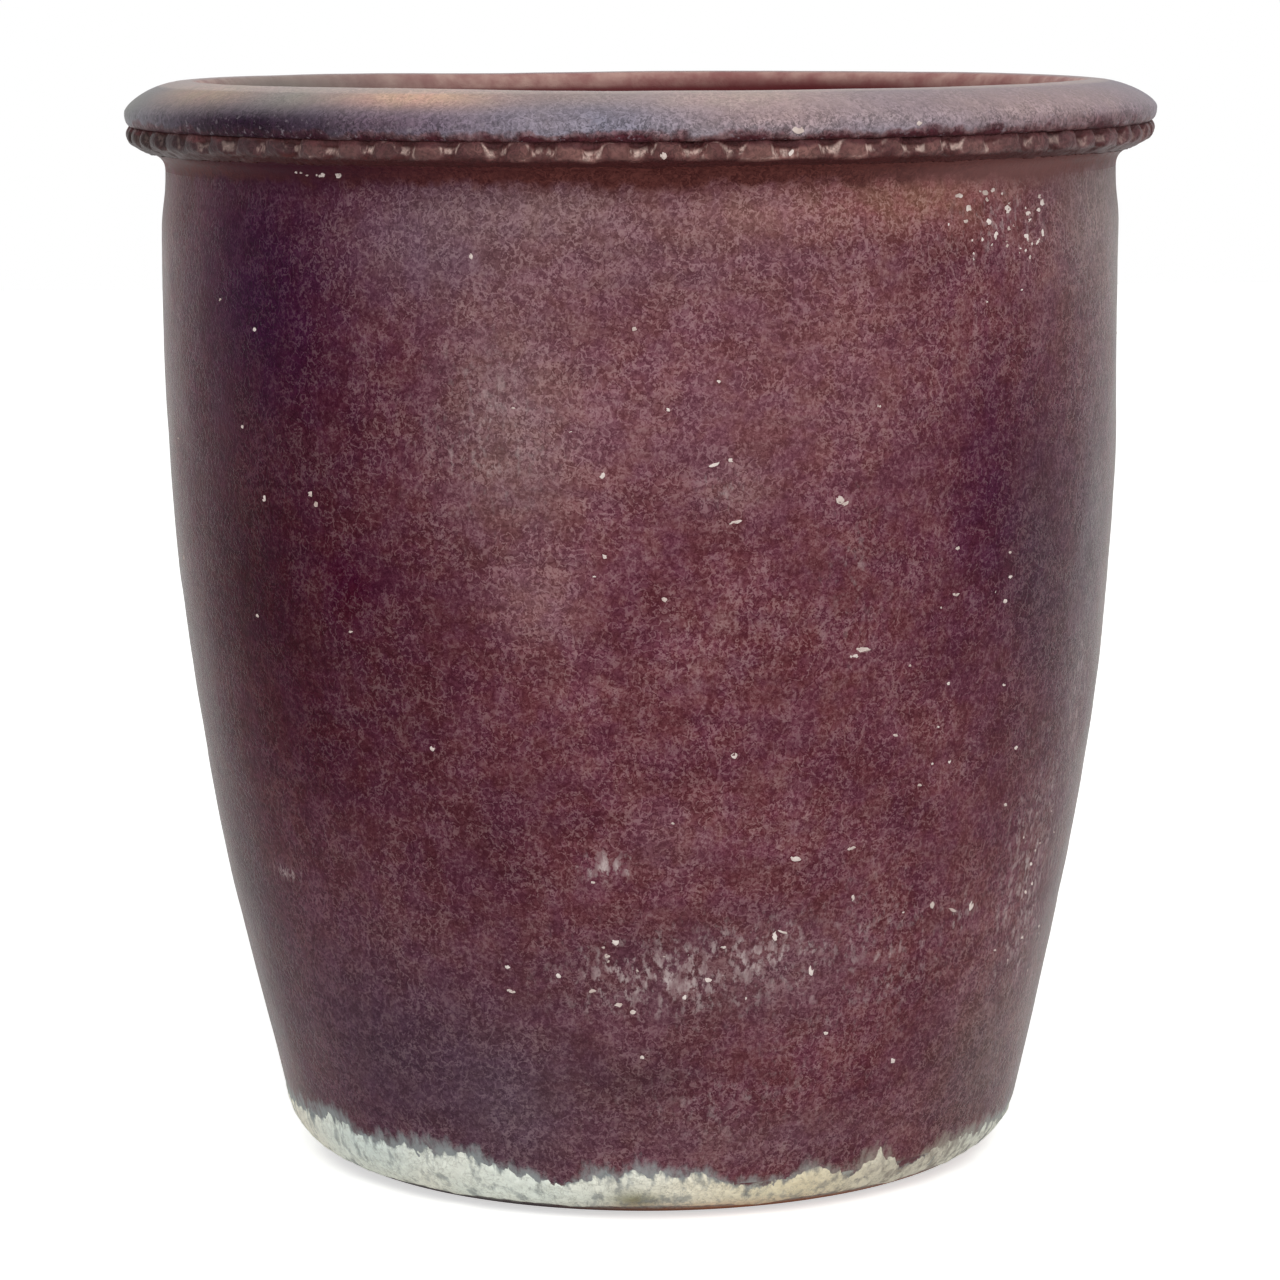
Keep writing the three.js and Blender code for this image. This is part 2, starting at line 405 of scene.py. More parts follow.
def notched_strip():
    under_edge = seat_toe[1] + STRIP_UNDERCUT
    rounding = STRIP_HEIGHT / 6
    head_share = STRIP_HEIGHT / (seat_head[1] - seat_toe[1])
    strip = turned(
        "notched_band",
        [
            seat_toe,
            (strip_face - rounding, under_edge - rounding / 4),
            (strip_face - rounding / 4, under_edge + rounding / 2),
            (strip_face, under_edge + rounding),
            (strip_face, strip_top - rounding),
            (strip_face - rounding, strip_top + 0.0010),
            (seat_toe[0] + (seat_head[0] - seat_toe[0]) * head_share, strip_top + 0.0010),
        ],
        NOTCH_COUNT * 4,
    )
    thumbs = presses(strip_face + THUMB_OUTSET, strip_top - THUMB_DROP, THUMB_HALF_SIZES)
    fingers = presses(strip_face - FINGER_SETBACK, under_edge - FINGER_DROP, FINGER_HALF_SIZES)
    for tips in (thumbs, fingers):
        apply_modifier(strip, "BOOLEAN", operation="DIFFERENCE", object=tips, solver="EXACT")
        bpy.data.objects.remove(tips)
    apply_modifier(strip, "REMESH", mode="VOXEL", voxel_size=STRIP_VOXEL)
    apply_modifier(strip, "SMOOTH", factor=0.5, iterations=10)
    slope = STRIP_THICKNESS / STRIP_UNDERCUT
    pressed = []
    for vertex in strip.data.vertices:
        knob = strip_face - slope * max(0.0, under_edge - vertex.co.z)
        pressed.append(eased((knob - math.hypot(vertex.co.x, vertex.co.y) - 0.0005) / 0.0034))
    level = [(vertex.co.z - seat_toe[1]) / STRIP_HEIGHT for vertex in strip.data.vertices]
    stored(strip, "pressed", pressed)
    stored(strip, "level", level)
    apply_modifier(strip, "DISPLACE", strength=0.0007, mid_level=0)
    unevenness(strip, dents, 0.0009)
    unevenness(strip, ripple, 0.0012)
    unevenness(strip, lumps, 0.0012)
    shifted(strip, "hanging", sag, -STRIP_SAG)
    apply_modifier(strip, "LATTICE", object=lean)
    return finished(strip, 60)


notched_band = notched_strip()

# Crust of lime round the heel: its upper edge by angle from the front, in degrees, and height
CRUST_EDGE = (
    (-180, 0.022), (-120, 0.028), (-90, 0.034), (-66, 0.037), (-55, 0.043), (-49, 0.035), (-37, 0.038),
    (-26, 0.036), (-13, 0.022), (-9, 0.029), (-2, 0.034), (8, 0.031), (14, 0.021), (25, 0.029), (31, 0.022),
    (36, 0.036), (42, 0.018), (50, 0.029), (60, 0.028), (76, 0.026), (110, 0.026), (180, 0.022),
)
# Its start on the heel, how deep its base is sunk, its thickness, and the rise of each row above the heel
CRUST_START = math.radians(72)
CRUST_SUNK = 0.0008
CRUST_THICKNESS = 0.0013
ROW_RISE = 0.0014
# How far the film of lime reaches above the crust, and over what height it fades
FILM_REACH = 0.015
FILM_FADE = 0.024


def crust_edge(angle):
    """Height of the crust's upper edge at one angle."""
    for (first, low), (second, high) in zip(CRUST_EDGE, CRUST_EDGE[1:]):
        if angle <= second:
            return low + (high - low) * (angle - first) / (second - first)
    return CRUST_EDGE[-1][1]


def lime_at(place):
    """How thick the lime lies at a point: whole near the ground, ragged along its upper edge."""
    wisp = noise.fractal(Vector((place[0] * 150, place[1] * 150, place[2] * 70)), 0.7, 2.1, 5)
    edge = crust_edge(front_angle(place)) * 0.88 + 0.0045 * wisp
    below = eased((edge - place[2]) / 0.008 + 0.5)
    right = front_angle(place)
    below *= 1 - 0.2 * eased((right - 24) / 8) * eased((84 - right) / 20)
    ragged_foot = 0.0065 + 0.003 * noise.noise(Vector((place[0] * 45, place[1] * 45, 3)))
    return below * eased((place[2] - ragged_foot) / 0.003 + 0.5)


def lime_crust():
    reach = HEEL_RADIUS - CRUST_SUNK
    rows = []
    for step in range(27):
        angle = CRUST_START + (heel_angle - CRUST_START) * step / 26
        rows.append((FOOT_RADIUS + reach * math.cos(angle), HEEL_RADIUS - reach * math.sin(angle)))
    last = rows[-1]
    rows += [(last[0] + HEEL_FLARE * ROW_RISE * step, last[1] + ROW_RISE * step) for step in range(1, 17)]
    outline = rows + [(rows[-1][0] - 0.004, rows[-1][1]), (rows[-1][0] - 0.014, rows[13][1])]
    crust = turned("lime_crust", outline + [(rows[0][0] - 0.006, rows[0][1] + 0.004)], 900)
    lime = [lime_at(vertex.co) for vertex in crust.data.vertices]
    weighted(crust, "grown", lime)
    stored(crust, "thickness", lime)
    apply_modifier(crust, "DISPLACE", strength=CRUST_THICKNESS, mid_level=0, vertex_group="grown")
    unevenness(crust, lumps, 0.0014, "grown")
    apply_modifier(crust, "LATTICE", object=lean)
    return finished(crust, 60)


crust = lime_crust()

# Film of lime left on the glaze round the crust
for piece in (lower_course, floor_slab):
    film = []
    for vertex in piece.data.vertices:
        edge = crust_edge(front_angle(vertex.co))
        reach = math.hypot(vertex.co.x, vertex.co.y)
        hollow = vertex.co.z > SEAT_HEIGHT and reach < floor_side + 0.012
        film.append(0.0 if hollow else eased((edge + FILM_REACH - vertex.co.z) / FILM_FADE))
    stored(piece, "film", film)

# Flecks and scratches of lime that stand out on the wall: angle, height, half width, half height
WALL_FLECKS = (
    (-48.8, 0.378, 0.0016, 0.0017), (-40.7, 0.383, 0.0015, 0.0018), (-39.9, 0.378, 0.0013, 0.0016),
    (-4.5, 0.398, 0.0014, 0.0017), (2.2, 0.336, 0.0012, 0.0014), (-25.7, 0.256, 0.0013, 0.0015),
    (-18.9, 0.506, 0.0013, 0.0015), (10.3, 0.255, 0.0017, 0.0016), (22.2, 0.383, 0.0022, 0.0020),
    (22.8, 0.381, 0.0022, 0.0010), (25.7, 0.306, 0.0045, 0.0011), (24.6, 0.303, 0.0028, 0.0008),
    (10.1, 0.374, 0.0034, 0.0007), (7.8, 0.403, 0.0030, 0.0007), (9.6, 0.405, 0.0012, 0.0010),
    (38.2, 0.330, 0.0022, 0.0009), (18.4, 0.199, 0.0030, 0.0014), (36.1, 0.081, 0.0014, 0.0016),
    (46.9, 0.160, 0.0016, 0.0030), (43.0, 0.160, 0.0040, 0.0008), (21.6, 0.138, 0.0014, 0.0034),
    (16.4, 0.158, 0.0015, 0.0026), (-3.9, 0.157, 0.0020, 0.0017), (-18.0, 0.128, 0.0024, 0.0010),
    (25.7, 0.202, 0.0026, 0.0008), (17.2, 0.160, 0.0034, 0.0007), (7.9, 0.136, 0.0017, 0.0015),
    (-3.7, 0.123, 0.0020, 0.0013), (-1.8, 0.119, 0.0014, 0.0014), (-11.4, 0.138, 0.0013, 0.0013),
    (-7.1, 0.130, 0.0020, 0.0009), (39.2, 0.165, 0.0015, 0.0020), (26.6, 0.175, 0.0009, 0.0017),
    (24.6, 0.102, 0.0013, 0.0011), (-0.7, 0.094, 0.0012, 0.0010), (-6.5, 0.189, 0.0012, 0.0008),
    (15.8, 0.5675, 0.0030, 0.0018), (15.5, 0.5560, 0.0018, 0.0019), (2.2, 0.5560, 0.0015, 0.0019),
    (29.2, 0.5695, 0.0018, 0.0012), (-38.1, 0.5447, 0.0024, 0.0012), (-35.7, 0.5447, 0.0018, 0.0015),
    (45.8, 0.524, 0.0024, 0.0022), (39.4, 0.525, 0.0018, 0.0022), (52.3, 0.526, 0.0020, 0.0020),
    (42.2, 0.533, 0.0022, 0.0012), (38.1, 0.532, 0.0026, 0.0011), (43.5, 0.511, 0.0015, 0.0022),
    (52.0, 0.511, 0.0013, 0.0022), (42.4, 0.518, 0.0017, 0.0018), (49.3, 0.521, 0.0015, 0.0014),
)
# Where smaller flecks crowd: angle, height, half angle, half height, how many
FLECK_CROWDS = (
    (44, 0.517, 8, 0.018, 34), (44, 0.300, 8, 0.060, 10), (62, 0.150, 8, 0.050, 16),
    (6, 0.142, 12, 0.018, 9), (0, 0.300, 60, 0.190, 24), (-39, 0.5450, 4, 0.0014, 5),
    (140, 0.300, 60, 0.190, 30), (-120, 0.250, 50, 0.180, 30),
)
FLECK_SIZES = (0.0004, 0.0012)
FLECK_STAND = 0.0003


def outermost(height):
    """Piece whose face is the outer one at a height."""
    steps = (
        (LOWER_JOINT, lower_course),
        (UPPER_JOINT, middle_course),
        (NECK_HEIGHT, upper_course),
        (seat_toe[1], rim_roll),
        (strip_top, notched_band),
    )
    for top, piece in steps:
        if height < top:
            return piece
    return rim_roll


def wall_flecks():
    chance = random.Random(11)
    flecks = list(WALL_FLECKS)
    for angle, height, half_angle, half_height, count in FLECK_CROWDS:
        for number in range(count):
            size = chance.uniform(*FLECK_SIZES)
            across = angle + half_angle * chance.uniform(-1, 1)
            along = height + half_height * chance.uniform(-1, 1)
            flecks.append((across, along, size * chance.uniform(0.8, 1.8), size))
    made = []
    for angle, height, half_width, half_height in flecks:
        turn = math.radians(angle - 90)
        outwards = Vector((math.cos(turn), math.sin(turn), 0))
        start = outwards * 0.4 + Vector((0, 0, height))
        hit, place, normal, face = outermost(height).ray_cast(start, -outwards)
        bpy.ops.object.select_all(action="DESELECT")
        bpy.ops.mesh.primitive_ico_sphere_add(
            subdivisions=2,
            radius=1,
            location=place,
            rotation=(chance.uniform(-0.4, 0.4), 0, turn),
            scale=(FLECK_STAND, half_width, half_height),
        )
        made.append(bpy.context.object)
    for fleck in made:
        fleck.select_set(True)
    bpy.ops.object.join()
    piece = bpy.context.object
    piece.name = "lime_flecks"
    piece.data.name = "lime_flecks"
    bpy.ops.object.transform_apply(location=True, rotation=True, scale=True)
    apply_modifier(
        piece,
        "DISPLACE",
        texture=crumbs,
        texture_coords="LOCAL",
        direction="RGB_TO_XYZ",
        strength=0.0016,
        mid_level=0.5,
    )
    return finished(piece, 60)


flecks = wall_flecks()

pieces = {
    "floor_slab": (floor_slab, "foot_clay"),
    "lower_wall_course": (lower_course, "wall_glaze"),
    "middle_wall_course": (middle_course, "wall_glaze"),
    "upper_wall_course": (upper_course, "wall_glaze"),
    "rim_roll": (rim_roll, "rim_glaze"),
    "notched_band": (notched_band, "rim_glaze"),
}
for node_name, (piece, slot_name) in pieces.items():
    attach(piece, "root")
    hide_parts(node_name)
for piece in (crust, flecks):
    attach(piece, "root")
bpy.data.objects.remove(lean)


# Shader nodes
def srgb(red, green, blue):
    """Shader colour of a screen colour given from 0 to 255."""
    shares = [value / 255 for value in (red, green, blue)]
    return tuple(s / 12.92 if s < 0.04045 else ((s + 0.055) / 1.055) ** 2.4 for s in shares) + (1.0,)


def put(tree, kind, values=None, **settings):
    """Adds a node with its settings, and links or writes its inputs."""
    node = tree.nodes.new("ShaderNode" + kind)
    for key, value in settings.items():
        setattr(node, key, value)
    for key, value in (values or {}).items():
        if isinstance(value, bpy.types.NodeSocket):
            tree.links.new(value, node.inputs[key])
        else:
            node.inputs[key].default_value = value
    return node


def calc(tree, operation, first, second=0.0):
    """Result of one sum."""
    return put(tree, "Math", {0: first, 1: second}, operation=operation).outputs[0]


def ramp(tree, value, low, high, start=0.0, end=1.0):
    """Soft step from start, where the value is low, to end, where it is high."""
    values = {"Value": value, "From Min": low, "From Max": high, "To Min": start, "To Max": end}
    return put(tree, "MapRange", values, interpolation_type="SMOOTHSTEP").outputs["Result"]


def blend(tree, factor, first, second):
    """Mix of two colours."""
    return put(tree, "Mix", {0: factor, 6: first, 7: second}, data_type="RGBA").outputs[2]


def grain(tree, point, scale, detail=2.0, roughness=0.5):
    """Plain noise from 0 to 1."""
    values = {"Vector": point, "Scale": scale, "Detail": detail, "Roughness": roughness}
    return put(tree, "TexNoise", values).outputs[0]


def stretched(tree, point, scale):
    """Coordinates drawn out along the axes."""
    return put(tree, "Mapping", {"Vector": point, "Scale": scale}).outputs[0]


def new_group(name, inputs, outputs):
    """An empty group of shader nodes with its named values."""
    group = bpy.data.node_groups.new(name, "ShaderNodeTree")
    for socket_name, value in inputs.items():
        socket = group.interface.new_socket(socket_name, in_out="INPUT", socket_type="NodeSocketFloat")
        socket.default_value = value
    for socket_name in outputs:
        kind = "NodeSocketColor" if socket_name == "Color" else "NodeSocketFloat"
        group.interface.new_socket(socket_name, in_out="OUTPUT", socket_type=kind)
    given = group.nodes.new("NodeGroupInput").outputs
    result = group.nodes.new("NodeGroupOutput").inputs
    return group, given, result


def pot_position_group():
    """Angle round the pot in degrees from the front, height in metres, and what faces the hollow."""
    group, given, result = new_group("pot_position", {}, ["Angle", "Height", "Inside"])
    point = put(group, "TexCoord").outputs["Object"]
    parts = put(group, "SeparateXYZ", {0: point}).outputs
    turn = calc(group, "ARCTAN2", parts["X"], calc(group, "MULTIPLY", parts["Y"], -1.0))
    group.links.new(calc(group, "MULTIPLY", turn, 180 / math.pi), result["Angle"])
    group.links.new(parts["Z"], result["Height"])
    outwards = put(group, "CombineXYZ", {0: parts["X"], 1: parts["Y"]}).outputs[0]
    outwards = put(group, "VectorMath", {0: outwards}, operation="NORMALIZE").outputs[0]
    normal = put(group, "NewGeometry").outputs["Normal"]
    facing = put(group, "VectorMath", {0: outwards, 1: normal}, operation="DOT_PRODUCT").outputs["Value"]
    group.links.new(ramp(group, facing, -0.05, -0.5), result["Inside"])
    return group


def soft_zone_group():
    """Soft oval patch on the pot."""
    inputs = {"Angle": 0, "Height": 0, "At Angle": 0, "At Height": 0, "Half Angle": 10, "Half Height": 0.1}
    group, given, result = new_group("soft_zone", inputs, ["Mask"])
    across = calc(group, "SUBTRACT", given["Angle"], given["At Angle"])
    across = put(group, "Math", {0: across, 1: 180.0, 2: -180.0}, operation="WRAP").outputs[0]
    across = calc(group, "DIVIDE", across, given["Half Angle"])
    along = calc(group, "SUBTRACT", given["Height"], given["At Height"])
    along = calc(group, "DIVIDE", along, given["Half Height"])
    across = calc(group, "MULTIPLY", across, across)
    along = calc(group, "MULTIPLY", along, along)
    spread = calc(group, "MULTIPLY", calc(group, "ADD", across, along), -1.0)
    group.links.new(calc(group, "EXPONENT", spread), result["Mask"])
    return group


def thin_lines(tree, point, scale):
    """Thin curly lines, 1 along them."""
    level = calc(tree, "SUBTRACT", grain(tree, point, scale, 2, 0.55), 0.5)
    return ramp(tree, calc(tree, "ABSOLUTE", level), 0.05, 0.0)


def glaze_mottle_group():
    """Mottling of an old glaze: curls and blots over fine grit, streaks, clouds, level bands and a tint."""
    outputs = ["Grain", "Streaks", "Clouds", "Bands", "Tint"]
    group, given, result = new_group("glaze_mottle", {"Fineness": 1.0}, outputs)
    point = put(group, "TexCoord").outputs["Object"]
    values = {0: point, "Scale": given["Fineness"]}
    point = put(group, "VectorMath", values, operation="SCALE").outputs[0]
    busy = ramp(group, grain(group, point, 24, 3, 0.6), 0.36, 0.64, 0.16, 0.44)
    curls = calc(group, "SUBTRACT", thin_lines(group, point, 128), thin_lines(group, point, 190))
    grit = calc(group, "MULTIPLY", grain(group, point, 330, 3, 0.7), 0.9)
    fine = calc(group, "ADD", grit, calc(group, "MULTIPLY", curls, busy))
    blots = calc(group, "SUBTRACT", grain(group, point, 62, 4, 0.66), 0.5)
    fine = calc(group, "ADD", fine, calc(group, "MULTIPLY", blots, 0.68))
    group.links.new(ramp(group, fine, 0.02, 0.88), result["Grain"])
    streaks = grain(group, stretched(group, point, (1, 1, 0.3)), 190, 3, 0.6)
    group.links.new(ramp(group, streaks, 0.3, 0.72), result["Streaks"])
    group.links.new(ramp(group, grain(group, point, 13, 4, 0.55), 0.3, 0.7), result["Clouds"])
    bands = grain(group, stretched(group, point, (0.12, 0.12, 1)), 90, 3, 0.6)
    group.links.new(ramp(group, bands, 0.32, 0.68), result["Bands"])
    group.links.new(ramp(group, grain(group, point, 42, 3, 0.6), 0.28, 0.72), result["Tint"])
    return group


pot_position = pot_position_group()
soft_zone = soft_zone_group()
glaze_mottle = glaze_mottle_group()


def new_material(name):
    """A material with only its Principled shader, and the tree to build in."""
    material = bpy.data.materials.new(name)
    material.use_nodes = True
    return material, material.node_tree, material.node_tree.nodes["Principled BSDF"].inputs


def wear(material, *worn_pieces):
    """Gives a material to pieces as their only one."""
    for piece in worn_pieces:
        piece.data.materials.clear()
        piece.data.materials.append(material)


def zone_mask(tree, position, angle, height, half_angle, half_height):
    """Mask of one soft patch on the pot."""
    values = {
        "Angle": position["Angle"],
        "Height": position["Height"],
        "At Angle": angle,
        "At Height": height,
        "Half Angle": half_angle,
        "Half Height": half_height,
    }
    return put(tree, "Group", values, node_tree=soft_zone).outputs["Mask"]


def painted(tree, position, colour, zones):
    """Lays soft patches over a colour, each with its own colour and strength."""
    for patch, strength, *place in zones:
        mask = zone_mask(tree, position, *place)
        colour = blend(tree, calc(tree, "MULTIPLY", mask, strength), colour, patch)
    return colour


def patches(tree, position, zones):
    """Strongest of several soft patches, each with its own strength."""
    strongest = None
    for strength, *place in zones:
        mask = calc(tree, "MULTIPLY", zone_mask(tree, position, *place), strength)
        strongest = mask if strongest is None else calc(tree, "MAXIMUM", strongest, mask)
    return strongest


def toned(tree, colour, value, hue=0.5, saturation=1.0):
    """Colour made lighter or darker, and turned in hue or saturation where asked."""
    values = {"Hue": hue, "Saturation": saturation, "Value": value, "Color": colour}
    return put(tree, "HueSaturation", values).outputs[0]


def bumped(tree, shader, height, strength, distance):
    """Fine relief from a height."""
    values = {"Height": height, "Strength": strength, "Distance": distance}
    tree.links.new(put(tree, "Bump", values).outputs[0], shader["Normal"])


GLAZE_SHINE = 0.025
CLAY_SHINE = 0.12
GLAZE_FINENESS = 1.45
# Colours of the neck band: partly the neck's own brown, partly painted shade under the rim; the dark one is
# also the strip's painted shade
NECK_BROWN_AND_SHADE = srgb(104, 58, 54)
NECK_DARK_AND_SHADE = srgb(66, 30, 30)
PALE_DUST = srgb(176, 156, 150)
DUST_SHEEN = srgb(226, 236, 230)
DUST_SPREAD = 0.25

# Warmer film of lime on the right: colour, strength, angle, height, half angle, half height
WARM_FILM = (srgb(166, 154, 140), 0.95, 44, 0.030, 22, 0.060)

# Tints of the wall, the glaze's own colour with painted light laid in, a paler painted sheen at the front
# and darker painted shade round the sides: colour, strength, angle, height, half angle, half height
WALL_TINTS = (
    (srgb(70, 36, 46), 0.80, -66, 0.170, 14, 0.110),
    (srgb(46, 0, 40), 0.98, -49, 0.480, 19, 0.115),
    (srgb(50, 0, 22), 0.98, -52, 0.330, 21, 0.100),
    (srgb(62, 16, 34), 0.80, -44, 0.250, 15, 0.060),
    (srgb(78, 38, 50), 0.65, -30, 0.290, 9, 0.090),
    (srgb(58, 4, 32), 0.80, -36, 0.337, 5, 0.020),
    (srgb(138, 116, 116), 0.85, 68, 0.525, 13, 0.050),
    (srgb(100, 86, 94), 0.75, 67, 0.340, 9, 0.120),
    (srgb(75, 44, 55), 0.75, 58, 0.310, 7, 0.060),
    (srgb(70, 26, 50), 0.90, 44, 0.370, 10, 0.070),
    (srgb(72, 52, 64), 0.65, 53, 0.345, 6, 0.070),
    (srgb(112, 92, 92), 0.65, 56, 0.072, 12, 0.050),
    (srgb(84, 44, 56), 0.60, 48, 0.245, 8, 0.050),
    (srgb(76, 54, 68), 0.92, -38, 0.082, 25, 0.080),
    (srgb(94, 75, 87), 0.80, -19, 0.062, 11, 0.045),
    (srgb(80, 42, 53), 0.75, -19, 0.200, 9, 0.045),
    (srgb(106, 82, 95), 0.80, -23, 0.516, 10, 0.034),
    (srgb(134, 106, 106), 0.70, -14, 0.425, 8, 0.055),
    (srgb(116, 86, 90), 0.60, 0, 0.505, 22, 0.030),
    (srgb(130, 102, 104), 0.70, -11, 0.529, 11, 0.016),
    (srgb(124, 84, 91), 0.60, 4, 0.430, 16, 0.050),
    (srgb(124, 82, 87), 0.60, 22, 0.460, 12, 0.070),
    (srgb(144, 104, 104), 0.70, 12, 0.528, 9, 0.014),
    (srgb(148, 101, 93), 0.85, 33, 0.534, 14, 0.017),
    (srgb(132, 94, 99), 0.75, -12, 0.335, 5, 0.022),
    (srgb(134, 98, 100), 0.55, 10, 0.392, 4, 0.014),
    (srgb(122, 84, 90), 0.50, 2, 0.212, 4, 0.018),
    (srgb(96, 52, 58), 0.50, 22, 0.300, 8, 0.030),
    (srgb(92, 48, 56), 0.55, 24, 0.185, 7, 0.018),
    (srgb(100, 72, 78), 0.60, 3, 0.135, 16, 0.030),
    (srgb(86, 60, 67), 0.70, -3, 0.080, 12, 0.026),
    (srgb(112, 82, 89), 0.55, 15, 0.045, 28, 0.018),
    (srgb(114, 82, 87), 0.55, 18, 0.140, 10, 0.030),
)

# Tints of the neck over its brown band, which is partly painted shade, in the same order
NECK_TINTS = (
    (srgb(54, 14, 34), 0.85, -42, 0.5480, 19, 0.0100),
    (srgb(132, 92, 90), 0.75, 48, 0.5430, 17, 0.0075),
)


def maroon_glaze_group():
    """Colour of the old glaze: mottled maroon tinted by place, with painted sheen and shade laid into its
    tints, turning to brown and painted shade on the neck under the rim.
    """
    group, given, result = new_group("maroon_glaze", {}, ["Color"])
    position = put(group, "Group", node_tree=pot_position).outputs
    mottle = put(group, "Group", {"Fineness": GLAZE_FINENESS}, node_tree=glaze_mottle).outputs
    colour = blend(group, mottle["Clouds"], srgb(96, 52, 62), srgb(110, 62, 71))
    dusty = calc(group, "MULTIPLY", mottle["Streaks"], mottle["Grain"])
    dusty = calc(group, "MULTIPLY", dusty, mottle["Clouds"])
    colour = blend(group, calc(group, "MULTIPLY", dusty, 0.2), colour, PALE_DUST)
    # The wall tints carry painted sheen and painted shade as well as the glaze's colour
    colour = painted(group, position, colour, WALL_TINTS)
    value = ramp(group, mottle["Grain"], 0.0, 1.0, 0.62, 1.42)
    value = calc(group, "MULTIPLY", value, ramp(group, mottle["Bands"], 0.0, 1.0, 0.93, 1.07))
    hue = ramp(group, mottle["Tint"], 0.0, 1.0, 0.489, 0.511)
    saturation = ramp(group, mottle["Grain"], 0.0, 1.0, 1.14, 0.92)
    colour = toned(group, colour, value, hue, saturation)
    dusty = ramp(group, position["Angle"], -60, -34, 0.02, 0.11)
    dusty = calc(group, "MULTIPLY", ramp(group, mottle["Grain"], 0.55, 1.0), dusty)
    colour = blend(group, dusty, colour, PALE_DUST)
    # Painted shade under the rim: the neck turns to a dark brown band, partly its own colour
    neck = calc(group, "ADD", position["Height"], calc(group, "MULTIPLY", mottle["Tint"], 0.006))
    shade = blend(group, mottle["Grain"], NECK_DARK_AND_SHADE, NECK_BROWN_AND_SHADE)
    colour = blend(group, ramp(group, neck, 0.5400, 0.5470), colour, shade)
    group.links.new(painted(group, position, colour, NECK_TINTS), result["Color"])
    return group


maroon_glaze = maroon_glaze_group()

# Where the glaze has worn to pale flakes: strength, angle, height, half angle, half height
WORN_PATCHES = (
    (1.00, 3, 0.138, 14, 0.022),
    (1.00, 15, 0.148, 9, 0.020),
    (1.30, -4.9, 0.198, 3.4, 0.007),
    (0.80, -54, 0.175, 4.5, 0.004),
    (0.80, 45, 0.158, 4, 0.010),
    (0.40, -17, 0.420, 8, 0.045),
    (0.30, 24, 0.345, 4, 0.045),
    (0.60, 9, 0.390, 3, 0.010),
    (0.80, 60, 0.170, 8, 0.080),
    (0.60, 68, 0.250, 7, 0.060),
    (0.50, 44, 0.517, 8, 0.020),
    (0.45, 30, 0.140, 14, 0.045),
    (0.30, 12, 0.070, 20, 0.030),
)


def dusted(shader, weight):
    """Dust that lights up where the surface turns away."""
    shader["Sheen Weight"].default_value = weight
    shader["Sheen Roughness"].default_value = DUST_SPREAD
    shader["Sheen Tint"].default_value = DUST_SHEEN


def wall_glaze_material():
    material, tree, shader = new_material("old_maroon_glaze")
    position = put(tree, "Group", node_tree=pot_position).outputs
    mottle = put(tree, "Group", {"Fineness": GLAZE_FINENESS}, node_tree=glaze_mottle).outputs
    colour = put(tree, "Group", node_tree=maroon_glaze).outputs["Color"]
    point = put(tree, "TexCoord").outputs["Object"]
    worn = patches(tree, position, WORN_PATCHES)
    flakes = grain(tree, stretched(tree, point, (1, 1, 0.6)), 250, 4, 0.66)
    flakes = calc(tree, "ADD", flakes, calc(tree, "MULTIPLY", worn, 0.10))
    worn = calc(tree, "MULTIPLY", ramp(tree, flakes, 0.55, 0.68), worn)
    flake = blend(tree, mottle["Streaks"], srgb(140, 110, 113), srgb(206, 190, 188))
    colour = blend(tree, calc(tree, "MULTIPLY", worn, 0.8), colour, flake)
    film = put(tree, "Attribute", attribute_name="film").outputs["Fac"]
    wisps = grain(tree, stretched(tree, point, (1, 1, 0.45)), 130, 4, 0.65)
    film = calc(tree, "ADD", film, calc(tree, "MULTIPLY", calc(tree, "SUBTRACT", wisps, 0.5), 1.5))
    film = ramp(tree, film, 0.45, 1.0)
    veiled = painted(tree, position, srgb(160, 168, 168), (WARM_FILM,))
    colour = blend(tree, calc(tree, "MULTIPLY", film, 0.8), colour, veiled)
    raw = blend(tree, mottle["Grain"], srgb(86, 50, 44), srgb(118, 74, 62))
    tree.links.new(blend(tree, position["Inside"], colour, raw), shader["Base Color"])
    dusted(shader, 0.70)
    dull = calc(tree, "MAXIMUM", calc(tree, "MAXIMUM", worn, film), position["Inside"])
    shader["Specular IOR Level"].default_value = GLAZE_SHINE
    satin = ramp(tree, mottle["Grain"], 0.0, 1.0, 0.36, 0.50)
    tree.links.new(calc(tree, "ADD", satin, calc(tree, "MULTIPLY", dull, 0.3)), shader["Roughness"])
    bumped(tree, shader, mottle["Grain"], 0.45, 0.0004)
    return material


# Tints of the rim, partly tan wear and the glaze's colour, partly painted reflection and a painted
# highlight along the front of the crest: colour, strength, angle, height, half angle, half height
RIM_TINTS = (
    (srgb(174, 148, 131), 0.90, -58, 0.5850, 16, 0.0090),
    (srgb(142, 146, 138), 0.60, -41, 0.5835, 6, 0.0070),
    (srgb(124, 124, 117), 0.75, -80, 0.5760, 12, 0.0120),
    (srgb(212, 172, 150), 0.95, -25, 0.5840, 11, 0.0062),
    (srgb(160, 140, 130), 0.60, -9, 0.5850, 7, 0.0040),
    (srgb(164, 136, 134), 0.65, 14, 0.5750, 10, 0.0100),
    (srgb(192, 168, 160), 0.85, 11, 0.5840, 13, 0.0060),
    (srgb(164, 142, 142), 0.95, 48, 0.5780, 32, 0.0140),
    (srgb(122, 96, 110), 0.70, -27, 0.5715, 12, 0.0070),
    (srgb(40, 22, 42), 0.98, -46, 0.5705, 18, 0.0092),
    (srgb(112, 82, 86), 0.80, 58, 0.5680, 18, 0.0042),
)

# Tints of the inside of the rim, in the same order
INNER_TINTS = (
    (srgb(100, 42, 46), 0.90, 156, 0.5770, 26, 0.0050),
    (srgb(142, 136, 130), 0.90, -118, 0.5800, 26, 0.0140),
)


